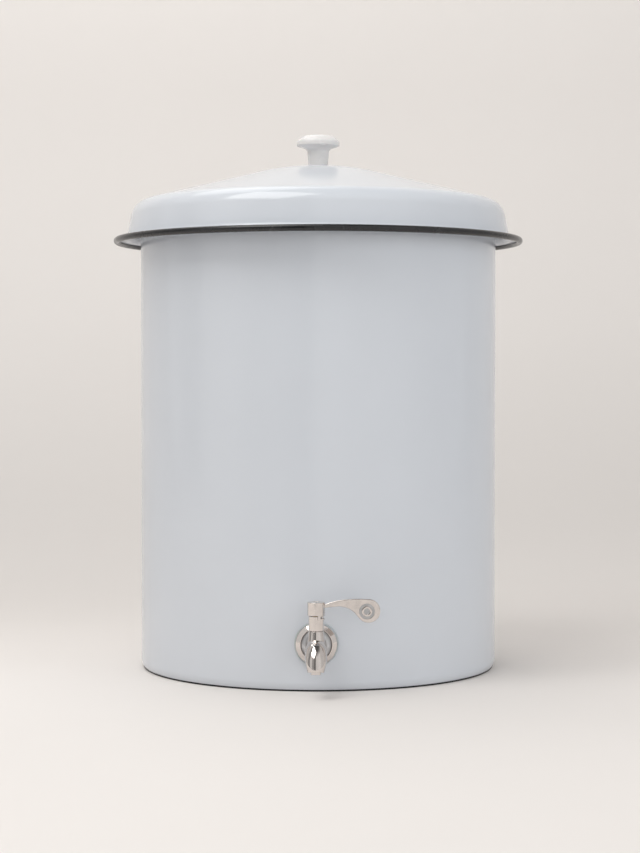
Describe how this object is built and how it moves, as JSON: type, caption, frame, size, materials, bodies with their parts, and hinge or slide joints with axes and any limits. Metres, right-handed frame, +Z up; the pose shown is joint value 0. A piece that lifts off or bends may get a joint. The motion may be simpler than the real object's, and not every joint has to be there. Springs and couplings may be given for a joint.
{
  "type": "countertop water filter dispenser",
  "caption": "Enamelled steel water dispenser with a lift-off domed lid, a clay filter pot hung in its mouth and a quarter-turn lever tap low on the front.",
  "frame": {"origin": "the vessel's axis, at the underside of its base", "axes": "+Z up the vessel's axis, -Y towards the tap at the front, +X towards the side that the shut lever points to"},
  "size_m": [0.3798, 0.4039, 0.4937],
  "materials": {
    "enamel": "glossy fired enamel, pale blue-white",
    "dark_enamel": "glossy fired enamel, near black",
    "white_plastic": "satin moulded",
    "clay": "unglazed, porous",
    "white_knob": "smooth, glossy",
    "polished_metal": "polished",
    "steel": "turned",
    "brass": "turned",
    "silicone": "matte"
  },
  "bodies": {
    "vessel": {"vessel_wall": "enamel", "vessel_base": "dark_enamel", "outer_seal": "silicone", "tap_rosette": "polished_metal", "inner_seal": "silicone", "inner_washer": "steel", "lock_nut": "steel", "tap_body": "polished_metal", "tap_bonnet": "polished_metal", "stop_pin": "steel"},
    "filter_ring": {"filter_ring": "white_plastic"},
    "filter_pot": {"filter_pot": "clay"},
    "lid": {"lid_shell": "enamel", "lid_rim_bead": "dark_enamel", "lid_knob": "white_knob", "knob_insert": "brass", "knob_washer": "steel", "knob_screw": "steel"},
    "lever": {"lever": "polished_metal", "lever_screw": "steel", "valve_plug": "brass", "lower_o_ring": "silicone", "upper_o_ring": "silicone"}
  },
  "joints": [
    {"name": "ring_lift", "type": "slide", "parent": "vessel", "child": "filter_ring", "axis": [0, 0, 1], "range_m": [0, 0.06]},
    {"name": "pot_lift", "type": "slide", "parent": "filter_ring", "child": "filter_pot", "axis": [0, 0, 1], "range_m": [0, 0.24]},
    {"name": "lid_lift", "type": "slide", "parent": "filter_pot", "child": "lid", "axis": [0, 0, 1], "range_m": [0, 0.12]},
    {"name": "lever_turn", "type": "hinge", "parent": "vessel", "child": "lever", "pos_m": [0, -0.19, 0.0688], "axis": [0, 0, 1], "range_deg": [-90, 0]}
  ]
}
